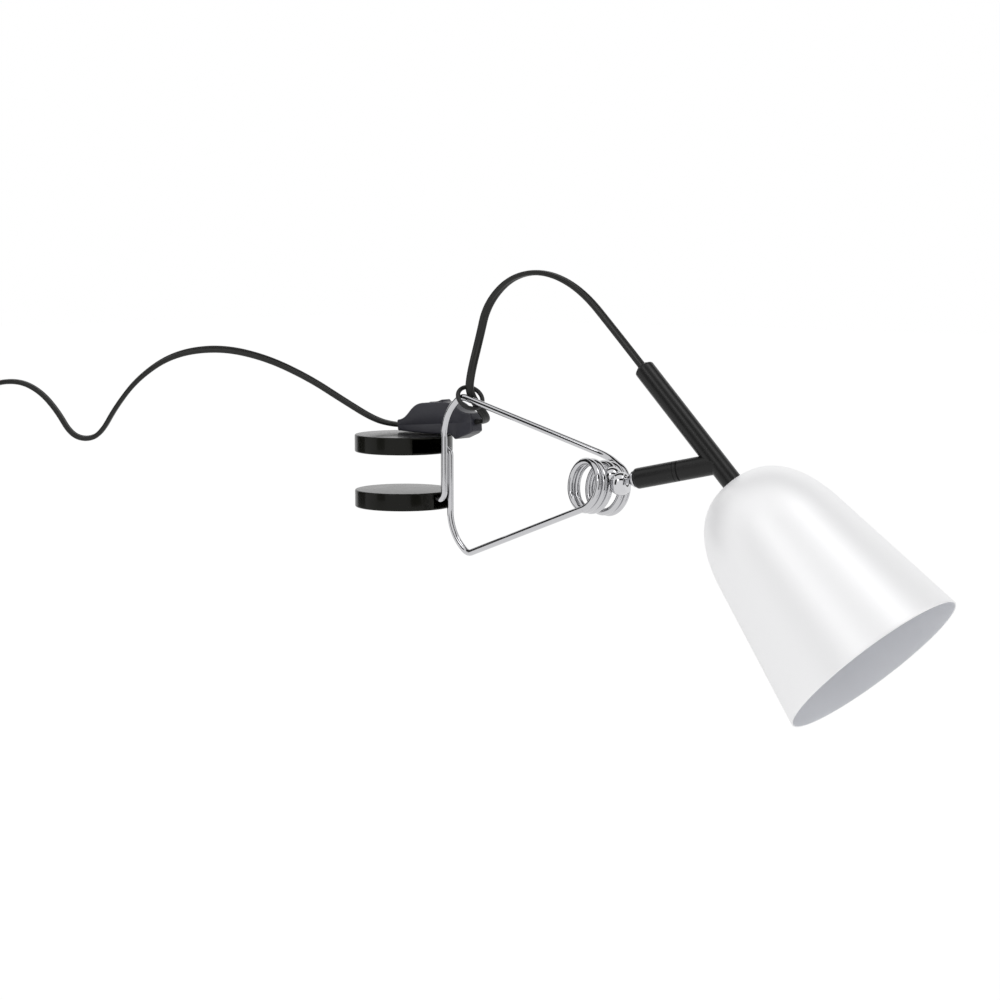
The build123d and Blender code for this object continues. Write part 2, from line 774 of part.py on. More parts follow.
base_half = half_switch(base_curve)
with BuildPart() as switch_base:
    add(base_half.part)
    with BuildSketch(switch_plan):
        with Locations(*[(at, 0) for at in screw_spots]):
            Circle(switch_screw_d / 2 + running_fit)
    extrude(amount=-switch_bottom, mode=Mode.SUBTRACT)
    with BuildSketch(switch_plan.offset(-nose_h / 2)):
        with Locations(*[(at, 0) for at in screw_spots]):
            Circle(switch_screw_head_d / 2 + running_fit)
    extrude(amount=-switch_bottom, mode=Mode.SUBTRACT)

with BuildPart() as switch_screws:
    with BuildSketch(switch_plan.offset(-nose_h / 2)):
        with Locations(*[(at, 0) for at in screw_spots]):
            Circle(switch_screw_d / 2)
    extrude(amount=nose_h)
    with BuildSketch(switch_plan.offset(-nose_h / 2)):
        with Locations(*[(at, 0) for at in screw_spots]):
            Circle(switch_screw_head_d / 2)
    extrude(amount=-switch_screw_head_t)

with BuildPart() as switch_rocker:
    with BuildSketch(rocker_turn):
        Circle(rocker_d / 2)
        with BuildSketch(rocker_turn, mode=Mode.PRIVATE) as rocker_band:
            with BuildLine(Plane.XY.rotated((0, 0, rocker_angle))):
                Polyline(
                    (-rocker_d, -rocker_keel),
                    (-rocker_d, rocker_sink + 2 * rocker_ends),
                    (0, rocker_sink + rocker_dish),
                    (rocker_d, rocker_sink + 2 * rocker_ends),
                    (rocker_d, -rocker_keel),
                    close=True,
                )
            make_face()
        add(rocker_band.sketch_local, mode=Mode.INTERSECT)
        Circle(rocker_pin_d / 2 + running_fit, mode=Mode.SUBTRACT)
    extrude(amount=rocker_w / 2, both=True)

with BuildPart() as rocker_pin:
    with BuildSketch(rocker_turn):
        Circle(rocker_pin_d / 2)
    extrude(amount=rocker_pin_l / 2, both=True)

# ---------------------------------------------------------------- free cord
cord_exit = tube_plane.offset(-tube_up - bush_stand)
switch_tail = switch_side.from_local_coords(Vector(switch_length, 0, 0))
switch_tail_out = switch_side.from_local_coords(Vector(switch_length + entry_run, 0, 0))
switch_nose_out = switch_side.from_local_coords(Vector(-entry_run, 0, 0))

coil_low = tie_t + running_fit
coil_out_r = (lead_coil_d + lead_coil_w) / 2
lay_r = coil_out_r - cord_r
stub_reach = sqrt(coil_out_r**2 - (coil_out_r - cord_d) ** 2) + lead_stub
lead_coil_plane = Plane(
    origin=(*lead_coil_spot, coil_low),
    x_dir=(cos(radians(lead_heading)), sin(radians(lead_heading)), 0),
    z_dir=(0, 0, 1),
)
lead_end = lead_coil_plane.from_local_coords(Vector(-stub_reach, -lay_r, cord_r))
lead_in = lead_coil_plane.from_local_coords(Vector(-stub_reach - coil_entry, -lay_r, cord_r))
plug_at = Vector(-stub_reach, lay_r, plug_t / 2 - coil_low)
plug_plane = Plane(
    origin=lead_coil_plane.from_local_coords(plug_at),
    x_dir=lead_coil_plane.y_dir,
    z_dir=-lead_coil_plane.x_dir,
)


def cord(name, points):
    """Free cord on straight runs joined by the largest arcs, and a note of its bends."""
    radii = free_radii(points)
    with BuildPart() as lay:
        with BuildLine() as path:
            FilletPolyline(*points, radius=radii)
        with BuildSketch(square_to(path.line, 0)):
            Circle(cord_r)
        sweep(path=path.wires()[0])
    length = path.wires()[0].length
    full = pi * cord_r**2 * length
    print(f"{name}: {length:.1f} mm, volume / section x length {lay.part.volume / full:.4f}")
    print("  bend radii:", ", ".join(f"{radius:.1f}" for radius in radii))
    return lay


loop_start = cord_exit.origin
loop_out = cord_exit.offset(-exit_run).origin
cord_loop = cord("loop", [loop_start, loop_out, *loop_route, switch_tail_out, switch_tail])
cord_lead = cord("lead", [nose, switch_nose_out, *lead_route, lead_in, lead_end])

with BuildPart() as cord_ring:
    with Locations(Plane(origin=ring_spot, z_dir=ring_axis)):
        Torus(ring_d / 2, ring_wire / 2)

with BuildPart() as lead_coil:
    with BuildSketch(Plane(lead_coil_plane.origin, lead_coil_plane.x_dir, -lead_coil_plane.y_dir)):
        with Locations((lead_coil_d / 2, lead_coil_h / 2)):
            RectangleRounded(lead_coil_w, lead_coil_h, lead_coil_round)
    revolve(axis=Axis(lead_coil_plane.origin, (0, 0, 1)))
    for end, heading in ((lead_end, lead_coil_plane.x_dir), (plug_plane.origin, lead_coil_plane.x_dir)):
        with BuildSketch(Plane(origin=end, z_dir=heading)):
            Circle(cord_r)
        extrude(amount=stub_reach)

with BuildPart() as coil_tie:
    tie_across = Plane(lead_coil_plane.origin, lead_coil_plane.x_dir, -lead_coil_plane.y_dir)
    with BuildSketch(tie_across):
        with Locations((lead_coil_d / 2, lead_coil_h / 2)):
            tie_out = tie_t + running_fit
            RectangleRounded(lead_coil_w + 2 * tie_out, lead_coil_h + 2 * tie_out, lead_coil_round + tie_t)
            RectangleRounded(
                lead_coil_w + 2 * running_fit,
                lead_coil_h + 2 * running_fit,
                lead_coil_round,
                mode=Mode.SUBTRACT,
            )
    tie_sweep = degrees(2 * tie_w / lead_coil_d)
    revolve(axis=Axis(lead_coil_plane.origin, (0, 0, 1)), revolution_arc=tie_sweep)

# ---------------------------------------------------------------- plug
with BuildPart() as plug_strain:
    with BuildSketch(plug_plane):
        Circle(plug_neck_tip_d / 2)
    with BuildSketch(plug_plane.offset(plug_neck_l)):
        Circle(plug_neck_d / 2)
    loft()

face_at = plug_neck_l + plug_l
with BuildPart() as plug_body:
    with BuildSketch(Plane(plug_plane.origin, plug_plane.x_dir, -plug_plane.y_dir)):
        with BuildLine():
            Polyline(
                (-plug_tail_w / 2, plug_neck_l),
                (plug_tail_w / 2, plug_neck_l),
                (plug_face_w / 2, face_at - plug_shoulder),
                (plug_face_w / 2, face_at),
                (-plug_face_w / 2, face_at),
                (-plug_face_w / 2, face_at - plug_shoulder),
                close=True,
            )
        make_face()
    extrude(amount=plug_t / 2, both=True)
    fillet(plug_body.edges().filter_by(Axis.Z), plug_round)
    with BuildSketch(plug_plane.offset(face_at - pin_root)):
        with GridLocations(pin_spacing, 0, 2, 1):
            Circle(pin_d / 2)
    extrude(amount=pin_root, mode=Mode.SUBTRACT)

with BuildPart() as plug_pins:
    with BuildSketch(plug_plane.offset(face_at - pin_root)):
        with GridLocations(pin_spacing, 0, 2, 1):
            Circle(pin_d / 2)
    extrude(amount=pin_root + pin_length)
    fillet(plug_pins.edges().filter_by(GeomType.CIRCLE).group_by(Axis(plug_plane.origin, plug_plane.z_dir))[-1], pin_d / 4)

# ---------------------------------------------------------------- write the pieces
os.makedirs("parts", exist_ok=True)
for name, piece in {
    "upper_pad": upper_pad,
    "lower_pad": lower_pad,
    "lower_leg": lower_leg,
    "front_coil": front_coil,
    "coil_bridge": coil_bridge,
    "rear_coil": rear_coil,
    "upper_leg": upper_leg,
    "socket_body": socket_body,
    "grub_screw": grub_screw,
    "ball_seat": ball_seat,
    "ball_stud": ball_stud,
    "joint_collar": joint_collar,
    "stub_base": stub_base,
    "stud_nut": stud_nut,
    "swivel_sleeve": swivel_sleeve,
    "swivel_washer": swivel_washer,
    "tee_stub": tee_stub,
    "arm_tube": arm_tube,
    "cord_bush": cord_bush,
    "nipple": nipple,
    "shade": shade,
    "shade_washer": shade_washer,
    "lock_nut": lock_nut,
    "holder_cap": holder_cap,
    "holder_body": holder_body,
    "holder_terminals": holder_terminals,
    "contact_sleeve": contact_sleeve,
    "centre_contact": centre_contact,
    "inner_lead": inner_lead,
    "switch_cover": switch_cover,
    "switch_base": switch_base,
    "switch_screws": switch_screws,
    "switch_rocker": switch_rocker,
    "rocker_pin": rocker_pin,
    "cord_loop": cord_loop,
    "cord_lead": cord_lead,
    "cord_ring": cord_ring,
    "lead_coil": lead_coil,
    "coil_tie": coil_tie,
    "plug_strain": plug_strain,
    "plug_body": plug_body,
    "plug_pins": plug_pins,
}.items():
    export(piece, name)
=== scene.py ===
"""Looks of a clip-on spot lamp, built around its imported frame.

Lengths are metres in the frame's own axes: the origin is the centre of the upper pad's grip
face, +X runs from the pads to the coil of the clip and +Z is up.
"""
from __future__ import annotations

import logging
from dataclasses import dataclass, field
from enum import Enum
from math import cos, pi, radians, sin
from typing import Sequence

import bmesh
import bpy
import numpy as np
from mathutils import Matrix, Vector


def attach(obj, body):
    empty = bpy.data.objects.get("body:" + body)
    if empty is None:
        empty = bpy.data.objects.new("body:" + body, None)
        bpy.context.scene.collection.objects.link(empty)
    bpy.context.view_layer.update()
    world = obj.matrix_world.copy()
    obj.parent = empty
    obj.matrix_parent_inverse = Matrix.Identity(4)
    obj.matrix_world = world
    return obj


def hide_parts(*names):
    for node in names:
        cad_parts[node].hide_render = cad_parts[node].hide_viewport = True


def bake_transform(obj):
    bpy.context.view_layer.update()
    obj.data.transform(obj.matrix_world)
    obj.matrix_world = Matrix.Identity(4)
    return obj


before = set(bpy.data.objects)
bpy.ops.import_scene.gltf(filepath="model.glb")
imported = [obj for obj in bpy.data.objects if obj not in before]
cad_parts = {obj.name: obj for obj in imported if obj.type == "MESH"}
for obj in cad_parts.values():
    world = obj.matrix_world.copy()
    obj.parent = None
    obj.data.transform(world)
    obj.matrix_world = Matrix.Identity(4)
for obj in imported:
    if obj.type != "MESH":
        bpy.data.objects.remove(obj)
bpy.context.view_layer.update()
LOG = logging.getLogger("lamp")
Array = np.ndarray
Point = tuple[float, float, float]

# sockets of a Mix node that mixes colours
MIX_SHARE, MIX_LOW, MIX_HIGH, MIX_RESULT = 0, 6, 7, 2

# waves per metre, and shares of the tone, of the slow change and of the smears on a surface
SLOW_WAVES, SLOW_SHARE = 22.0, 0.6
SMEAR_WAVES, SMEAR_SHARE = 70.0, 0.4
DRAWN_WAVE = 0.35  # a drawn surface's streaks, waves in one grain size
PAINTED_WAVE = 0.22  # a painted surface's ripple, waves in one grain size
COAT_ROUGHNESS = 0.06
BUMP_STRENGTH = 0.6

# colours of the studio
WHITE = (1.0, 1.0, 1.0, 1.0)
FLOOR_WHITE = (0.9, 0.9, 0.9, 1.0)
CARD_BLACK = (0.01, 0.01, 0.01, 1.0)

# degrees between faces, and metres between points
SWEPT_CREASE = 70.0  # keeps the flat ends of a swept piece sharp
CAD_CREASE = 32.0
BEVEL_FROM = 40.0
WELD_REACH = 2e-6
SAME_PLACE = 1e-6

# the long tube in the frame, from its crossing with the short arm down to the shade
TUBE_CROSSING = (0.209846, 0.014529, 0.005026)
TUBE_AHEAD = (0.687971, 0.049879, -0.724022)
TUBE_DOWN = 0.0148


# ------------------------------------------------------------------ names of choices
class Body(str, Enum):
    """The rigid bodies of the lamp."""

    CLIP = "clip"
    UPPER_LEG = "upper_leg"
    UPPER_PAD = "upper_pad"
    LOWER_PAD = "lower_pad"
    ROCKER = "rocker"
    BALL_SEAT = "ball_seat"
    SHORT_ARM = "short_arm"
    HEAD = "head"


class Grain(Enum):
    """Kinds of fine surface that a finish can have."""

    SMOOTH = "smooth"
    MOULDED = "moulded"
    PAINTED = "painted"
    DRAWN = "drawn"


# ------------------------------------------------------------------ shader maths
@dataclass
class Sock:
    """A node's output, on which arithmetic adds Math nodes."""

    tree: bpy.types.NodeTree
    out: bpy.types.NodeSocket

    def _math(self, operation: str, other: float | "Sock") -> "Sock":
        """Adds one Math node.

        Args:
            operation: the node's operation.
            other: what follows this value.

        Returns:
            The node's result.
        """
        node = self.tree.nodes.new("ShaderNodeMath")
        node.operation = operation
        for socket, value in zip(node.inputs, (self, other)):
            if isinstance(value, Sock):
                self.tree.links.new(value.out, socket)
            else:
                socket.default_value = value
        return Sock(self.tree, node.outputs[0])

    def __add__(self, other: float | "Sock") -> "Sock":
        """Sum."""
        return self._math("ADD", other)

    def __mul__(self, other: float | "Sock") -> "Sock":
        """Product."""
        return self._math("MULTIPLY", other)

    def __sub__(self, other: float | "Sock") -> "Sock":
        """Difference."""
        return self._math("SUBTRACT", other)

    def clamp(self) -> "Sock":
        """This value kept from 0 to 1."""
        return self._math("MINIMUM", 1.0)._math("MAXIMUM", 0.0)


class Paintbox:
    """One material and the nodes that make it."""

    def __init__(self, name: str) -> None:
        """Starts an empty material.

        Args:
            name: the material's name.
        """
        self.material = bpy.data.materials.new(name)
        self.material.use_nodes = True
        self.tree = self.material.node_tree
        self.tree.nodes.clear()

    def node(self, kind: str, settings: dict | None = None, **inputs: object) -> bpy.types.Node:
        """Adds a node, sets it and then fills its sockets.

        Args:
            kind: the node's type, without the ShaderNode in front.
            settings: the node's own settings.
            inputs: values or outputs for its sockets, by name with _ for a space.

        Returns:
            The node.
        """
        node = self.tree.nodes.new("ShaderNode" + kind)
        for key, value in (settings or {}).items():
            setattr(node, key, value)
        for key, value in inputs.items():
            socket = node.inputs[key.replace("_", " ")]
            if isinstance(value, Sock):
                self.tree.links.new(value.out, socket)
            elif isinstance(value, bpy.types.NodeSocket):
                self.tree.links.new(value, socket)
            else:
                socket.default_value = value
        return node

    def value(self, node: bpy.types.Node, output: str | int = 0) -> Sock:
        """A node's output, ready for arithmetic."""
        return Sock(self.tree, node.outputs[output])

    def place(self) -> bpy.types.NodeSocket:
        """Object coordinates of the surface."""
        return self.node("TexCoord").outputs["Object"]

    def noise(self, scale: float, detail: float = 3.0, rough: float = 0.5) -> Sock:
        """Fractal noise over Object coordinates, scale in waves per metre."""
        node = self.node(
            "TexNoise", Vector=self.place(), Scale=scale, Detail=detail, Roughness=rough
        )
        return self.value(node, "Fac")

    def mix(self, low: Sequence[float], high: Sequence[float], share: Sock) -> Sock:
        """Colour between two others, by a share."""
        node = self.node("Mix", {"data_type": "RGBA"})
        node.inputs[MIX_LOW].default_value = (*low[:3], 1.0)
        node.inputs[MIX_HIGH].default_value = (*high[:3], 1.0)
        self.tree.links.new(share.out, node.inputs[MIX_SHARE])
        return self.value(node, MIX_RESULT)

    def bump(self, height: Sock, depth: float, strength: float = 1.0) -> bpy.types.NodeSocket:
        """Normal from a height, depth in metres."""
        bump = self.node("Bump", Height=height, Distance=depth, Strength=strength)
        return bump.outputs["Normal"]

    def finish(self, **inputs: object) -> bpy.types.Material:
        """Closes the material with one surface shader."""
        shader = self.node("BsdfPrincipled", **inputs)
        output = self.node("OutputMaterial")
        self.tree.links.new(shader.outputs[0], output.inputs["Surface"])
        return self.material


def seen_directly(tree: bpy.types.NodeTree) -> Sock:
    """1 for a ray of the camera, of a reflection or through glass, and 0 for any other."""
    rays = tree.nodes.new("ShaderNodeLightPath")
    seen = Sock(tree, rays.outputs["Is Camera Ray"]) + Sock(tree, rays.outputs["Is Glossy Ray"])
    return (seen + Sock(tree, rays.outputs["Is Transmission Ray"])).clamp()


# ------------------------------------------------------------------ finishes
@dataclass(frozen=True)
class Finish:
    """One surface of the lamp: its colour, gloss and fine grain.

    The colour runs to the worn one by slow noise, and the roughness varies by its spread to
    either side. The grain's size and depth are in metres.
    """

    name: str
    colour: tuple[float, float, float]
    worn: tuple[float, float, float]
    roughness: float
    spread: float = 0.05
    metallic: float = 0.0
    coat: float = 0.0
    specular: float = 0.5
    grain: Grain = Grain.SMOOTH
    grain_size: float = 0.0006
    depth: float = 0.00001

    def material(self) -> bpy.types.Material:
        """The material, made on its first use.

        Returns:
            A procedural material with a slow change of tone, a change of gloss and a grain.
        """
        found = bpy.data.materials.get(self.name)
        if found is not None:
            return found
        box = Paintbox(self.name)
        slow = box.noise(SLOW_WAVES, 2.0)
        fine = box.noise(1.0 / self.grain_size, 4.0, 0.6)
        smear = box.noise(SMEAR_WAVES, 5.0, 0.65)
        wear = (slow * SLOW_SHARE + smear * SMEAR_SHARE).clamp()
        colour = box.mix(self.colour, self.worn, wear)
        gloss = (smear - 0.5) * (2 * self.spread) + self.roughness
        if self.grain is Grain.DRAWN:
            height = box.noise(DRAWN_WAVE / self.grain_size, 1.0) * 0.5 + fine * 0.5
        elif self.grain is Grain.PAINTED:
            height = box.noise(PAINTED_WAVE / self.grain_size, 2.0) * 0.8 + fine * 0.2
        elif self.grain is Grain.MOULDED:
            cells = box.node("TexVoronoi", Vector=box.place(), Scale=1.0 / self.grain_size)
            height = box.value(cells, "Distance") * 0.6 + fine * 0.4
        else:
            height = fine
        return box.finish(
            Base_Color=colour,
            Roughness=gloss.clamp(),
            Metallic=self.metallic,
            Coat_Weight=self.coat,
            Coat_Roughness=COAT_ROUGHNESS,
            Specular_IOR_Level=self.specular,
            Normal=box.bump(height, self.depth, BUMP_STRENGTH),
        )


PAD_BLACK = Finish(
    "pad_black", (0.004, 0.004, 0.003), (0.008, 0.008, 0.006), 0.24, 0.05,
    coat=0.12, specular=0.1, grain=Grain.MOULDED,
)
CHROME = Finish(
    "chrome_wire", (0.60, 0.60, 0.61), (0.50, 0.50, 0.52), 0.07, 0.02,
    metallic=1.0, grain=Grain.DRAWN, depth=1.5e-6,
)
JOINT_CHROME = Finish(
    "chrome_joint", (0.66, 0.66, 0.67), (0.58, 0.58, 0.6), 0.06, 0.02, metallic=1.0, depth=1e-6
)
STEEL = Finish(
    "zinc_steel", (0.45, 0.45, 0.46), (0.38, 0.38, 0.4), 0.3, 0.06, metallic=1.0, grain=Grain.DRAWN
)
BRASS = Finish(
    "brass", (0.66, 0.46, 0.2), (0.55, 0.38, 0.17), 0.25, 0.06, metallic=1.0, grain=Grain.DRAWN
)
NICKEL = Finish("nickel_pins", (0.62, 0.6, 0.56), (0.5, 0.48, 0.45), 0.2, 0.05, metallic=1.0)
ARM_BLACK = Finish(
    "arm_black", (0.005, 0.005, 0.005), (0.009, 0.009, 0.009), 0.32, 0.04,
    specular=0.3, grain=Grain.PAINTED, depth=1.5e-6,
)
NYLON = Finish(
    "nylon_black", (0.006, 0.006, 0.006), (0.01, 0.01, 0.01), 0.5,
    specular=0.3, grain=Grain.MOULDED,
)
SHADE_WHITE = Finish(
    "shade_white", (0.86, 0.86, 0.86), (0.845, 0.845, 0.845), 0.16, 0.03,
    coat=0.5, grain=Grain.PAINTED, depth=1.5e-6,
)
SHADE_INSIDE = Finish(
    "shade_inside", (0.74, 0.75, 0.78), (0.71, 0.72, 0.76), 0.42, 0.05,
    grain=Grain.PAINTED, depth=8e-6,
)
HOLDER = Finish(
    "holder_black", (0.015, 0.015, 0.015), (0.022, 0.022, 0.022), 0.3, grain=Grain.MOULDED
)
FLEX_BLACK = Finish(
    "flex_black", (0.007, 0.007, 0.006), (0.012, 0.012, 0.011), 0.34, 0.08,
    specular=0.35, grain=Grain.MOULDED, depth=4e-6,
)
RUBBER = Finish(
    "ring_rubber", (0.008, 0.008, 0.008), (0.013, 0.013, 0.013), 0.34, 0.06,
    specular=0.4, grain=Grain.MOULDED, depth=4e-6,
)
SWITCH_BLUE = Finish(
    "switch_plastic", (0.024, 0.024, 0.033), (0.034, 0.034, 0.044), 0.4, 0.06,
    specular=0.4, grain=Grain.MOULDED,
)
PLUG_BLACK = Finish(
    "plug_black", (0.011, 0.011, 0.011), (0.018, 0.018, 0.018), 0.35,
    specular=0.4, grain=Grain.MOULDED,
)


# ------------------------------------------------------------------ surfaces
def unit(vectors: Array) -> Array:
    """Vectors of length 1 in the same directions."""
    return vectors / np.linalg.norm(vectors, axis=-1, keepdims=True)


def run_along(path: Array) -> Array:
    """Length of a path up to each of its points."""
    return np.r_[0, np.cumsum(np.linalg.norm(np.diff(path, axis=0), axis=1))]


def nearest(run: Array, spot: float) -> int:
    """Index of the point that lies nearest to a length along a path."""
    return int(np.argmin(np.abs(run - spot)))


def grid_faces(rows: int, columns: int) -> Array:
    """Quads between neighbouring rows and columns of a grid whose rows are closed rings.

    Args:
        rows: number of rows.
        columns: number of points in a row.

    Returns:
        Four indices for each face.
    """
    row, column = np.meshgrid(np.arange(rows - 1), np.arange(columns), indexing="ij")
    follow = (column + 1) % columns
    low, high = row * columns, (row + 1) * columns
    return np.stack([low + column, low + follow, high + follow, high + column], -1).reshape(-1, 4)


def mesh_piece(
    name: str, points: Array, faces: Sequence[Sequence[int]], finish: Finish
) -> bpy.types.Object:
    """A smooth mesh in its place, with a finish.

    Args:
        name: the piece's name.
        points: its points, one row each.
        faces: indices of each face's points.
        finish: its surface.

    Returns:
        The object, which sits at the origin.
    """
    mesh = bpy.data.meshes.new(name)
    corners = [list(map(int, face)) for face in faces]
    mesh.from_pydata(points.reshape(-1, 3).tolist(), [], corners)
    mesh.polygons.foreach_set("use_smooth", np.ones(len(mesh.polygons), bool))
    mesh.materials.append(finish.material())
    mesh.update()
    piece = bpy.data.objects.new(name, mesh)
    bpy.context.scene.collection.objects.link(piece)
    return piece


def with_ends(rows: int, columns: int) -> list[list[int]]:
    """Faces of a closed tube of rows, with a many-sided face over each end."""
    faces = grid_faces(rows, columns).tolist()
    faces.append(list(range(columns))[::-1])
    faces.append([(rows - 1) * columns + i for i in range(columns)])
    return faces


@dataclass(frozen=True)
class Spindle:
    """An axis with two directions square to it."""

    origin: Vector
    axis: Vector

    def sides(self) -> tuple[Array, Array, Array]:
        """The axis and two directions square to it and to each other."""
        along = unit(np.array(self.axis))
        first = unit(np.cross([0.0, 1.0, 0.0], along))
        return along, first, np.cross(along, first)

    def around(self, profile: Array, columns: int) -> Array:
        """Points of a turned surface.

        The point at height h and radius r becomes origin + h * axis + r * (cos a * u +
        sin a * v), where u, v and the axis are square to each other and a runs once round.

        Args:
            profile: heights and radii.
            columns: points round the axis.

        Returns:
            One row of points for each height and radius.
        """
        along, first, second = self.sides()
        angle = np.linspace(0, 2 * pi, columns, endpoint=False)
        ring = np.cos(angle)[:, None] * first + np.sin(angle)[:, None] * second
        heights, radii = profile[:, :1, None], profile[:, 1:, None]
        return np.array(self.origin) + heights * along + radii * ring[None]

    def at(self, height: float) -> Vector:
        """Place on the axis."""
        return self.origin + self.axis.normalized() * height


def swept(
    name: str, path: Array, across: Array, section: Array, finish: Finish,
    rows: slice = slice(None),
) -> bpy.types.Object:
    """A section carried along a path.

    At each point of the path the section's x runs along the given cross direction, made
    square to the path, and its y along the path's direction crossed with that.

    Args:
        name: the piece's name.
        path: points of the centre line.
        across: one direction for each point.
        section: x and y of the closed section.
        finish: its surface.
        rows: the stretch of the path that the piece has.

    Returns:
        The piece, with flat ends.
    """
    ahead = unit(np.gradient(path, axis=0))
    wide = unit(across - np.sum(across * ahead, axis=1, keepdims=True) * ahead)
    high = np.cross(ahead, wide)
    side, rise = section[None, :, :1], section[None, :, 1:]
    points = (path[:, None] + side * wide[:, None] + rise * high[:, None])[rows]
    piece = mesh_piece(name, points, with_ends(len(points), len(section)), finish)
    piece.data.set_sharp_from_angle(angle=radians(SWEPT_CREASE))
    return piece


def round_section(radius: float, columns: int) -> Array:
    """Circle as a closed section."""
    angle = np.linspace(0, 2 * pi, columns, endpoint=False)
    return radius * np.stack([np.cos(angle), np.sin(angle)], 1)


def smooth_cad(name: str, finish: Finish, bevel: float = 0.0) -> bpy.types.Object:
    """Dresses a CAD node that keeps its shape.

    Its triangles are joined, shaded smooth and split again at sharp edges.

    Args:
        name: the node's name.
        finish: its surface.
        bevel: width of a small rounding on its sharp edges, or 0 for none.

    Returns:
        The node's object.
    """
    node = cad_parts[name]
    node.data.polygons.foreach_set("use_smooth", np.ones(len(node.data.polygons), bool))
    weld = node.modifiers.new("join", "WELD")
    weld.merge_threshold = WELD_REACH
    if bevel > 0:
        edge = node.modifiers.new("edges", "BEVEL")
        edge.width = bevel
        edge.segments = 2
        edge.limit_method = "ANGLE"
        edge.angle_limit = radians(BEVEL_FROM)
    split = node.modifiers.new("sharp", "EDGE_SPLIT")
    split.split_angle = radians(CAD_CREASE)
    node.data.materials.clear()
    node.data.materials.append(finish.material())
    return node


# ------------------------------------------------------------------ flex
@dataclass
class Flex:
    """The flat twin flex: a loop to the switch, and the lead with its coil and plug.

    The loop and the lead are control points. The widths say which way the flex lies flat,
    and each stretch names the shares of the loop where it starts and ends and its two
    bodies. The give, the part of the lead in metres that would bend at the switch, is not used.
    """

    width: float = 0.0048
    thickness: float = 0.0030
    groove: float = 0.00035
    loop: list[Point] = field(
        default_factory=lambda: [
            (0.16272, 0.01111, 0.05462), (0.14621, 0.00992, 0.0720), (0.1225, 0.0094, 0.0952),
            (0.0990, 0.0066, 0.1050), (0.0770, 0.0046, 0.1015), (0.0605, 0.0034, 0.0860),
            (0.0535, 0.0050, 0.0665), (0.0536, -0.0025, 0.0475), (0.04866, 0.00133, 0.03564),
            (0.05413, 0.0073, 0.02463), (0.05314, 0.01157, 0.0209), (0.0489, 0.0146, 0.01875),
            (0.04342, 0.0146, 0.01831),
        ]
    )
    lead: list[Point] = field(
        default_factory=lambda: [
            (-0.0144, 0.0146, 0.01376), (-0.01988, 0.0146, 0.01333), (-0.0305, 0.0085, 0.0160),
            (-0.0440, -0.0030, 0.0270), (-0.0620, -0.0155, 0.0410), (-0.0840, -0.0300, 0.0530),
            (-0.1070, -0.0450, 0.0585), (-0.1300, -0.0600, 0.0545), (-0.1480, -0.0715, 0.0405),
            (-0.1601, -0.0789, 0.0233), (-0.1686, -0.0843, 0.0060), (-0.1765, -0.0893, 0.0026),
            (-0.1844, -0.0943, 0.0060), (-0.1912, -0.0986, 0.0199), (-0.2000, -0.1040, 0.0315),
            (-0.2110, -0.1110, 0.0378), (-0.2260, -0.1195, 0.0360), (-0.2400, -0.1275, 0.0260),
            (-0.2525, -0.1345, 0.0130), (-0.2635, -0.1405, 0.0044),
        ]
    )
    run_out: list[Point] = field(
        default_factory=lambda: [
            (-0.2722, -0.2115, 0.0076), (-0.2631, -0.2076, 0.0068), (-0.2600, -0.2063, 0.0068),
        ]
    )
    loop_widths: list[tuple[float, Point]] = field(
        default_factory=lambda: [
            (0.0, (0.3, 1.0, 0.0)), (0.45, (0.1, 1.0, 0.0)), (0.72, (0.77, 0.64, 0.0)),
            (0.86, (0.77, 0.64, 0.0)), (0.97, (0.0, 1.0, 0.0)), (1.0, (0.0, 1.0, 0.0)),
        ]
    )
    lead_widths: list[tuple[float, Point]] = field(
        default_factory=lambda: [
            (0.0, (0.0, 1.0, 0.0)), (0.02, (0.0, 1.0, 0.0)), (0.07, (-0.4, 0.7, 0.6)),
            (0.13, (-0.53, 0.84, 0.1)), (0.19, (-0.53, 0.84, 0.0)), (0.225, (0.0, 0.0, 1.0)),
            (0.98, (0.0, 0.0, 1.0)), (1.0, (0.4, -0.9, 0.3)),
        ]
    )
    stretches: list[tuple[str, float, float, Body, Body]] = field(
        default_factory=lambda: [
            ("flex_loop_head", 0.0, 0.34, Body.HEAD, Body.SHORT_ARM),
            ("flex_loop_arm", 0.34, 0.5, Body.SHORT_ARM, Body.BALL_SEAT),
            ("flex_loop_seat", 0.5, 0.66, Body.BALL_SEAT, Body.CLIP),
            ("flex_loop_leg", 0.66, 0.835, Body.CLIP, Body.UPPER_LEG),
            ("flex_loop_hook", 0.835, 1.0, Body.UPPER_LEG, Body.CLIP),
        ]
    )
    inset: float = 0.0035
    give: tuple[float, float] = (0.008, 0.1)
    coil_spot: Point = (-0.292, -0.186, 0.00126)
    coil_r: float = 0.026
    heading: float = 203.0
    columns: int = 4
    turn_gap: float = 0.0003
    row_step: float = 0.0056
    points_a_turn: int = 14
    turn_straight: float = 0.7
    section_points: int = 36
    round_x: float = 0.75
    round_y: float = 0.6
    groove_share: float = 0.22
    order: int = 3
    resolution: int = 10

    def section(self) -> Array:
        """Two cores side by side: a flat oval with a groove along each broad face.

        At angle a the point is at cos a and sin a, each raised to its own power below 1, which
        squares the circle off, times the half width and half thickness. A straight-sided
        dip at the middle makes the groove.
        """
        half, high = self.width / 2, self.thickness / 2
        angle = np.linspace(0, 2 * pi, self.section_points, endpoint=False)
        x = np.sign(np.cos(angle)) * np.abs(np.cos(angle)) ** self.round_x * half
        y = np.sign(np.sin(angle)) * np.abs(np.sin(angle)) ** self.round_y * high
        dip = self.groove * np.clip(1 - np.abs(x) / (self.groove_share * half), 0, 1)
        return np.stack([x, y - np.sign(y) * dip], 1)

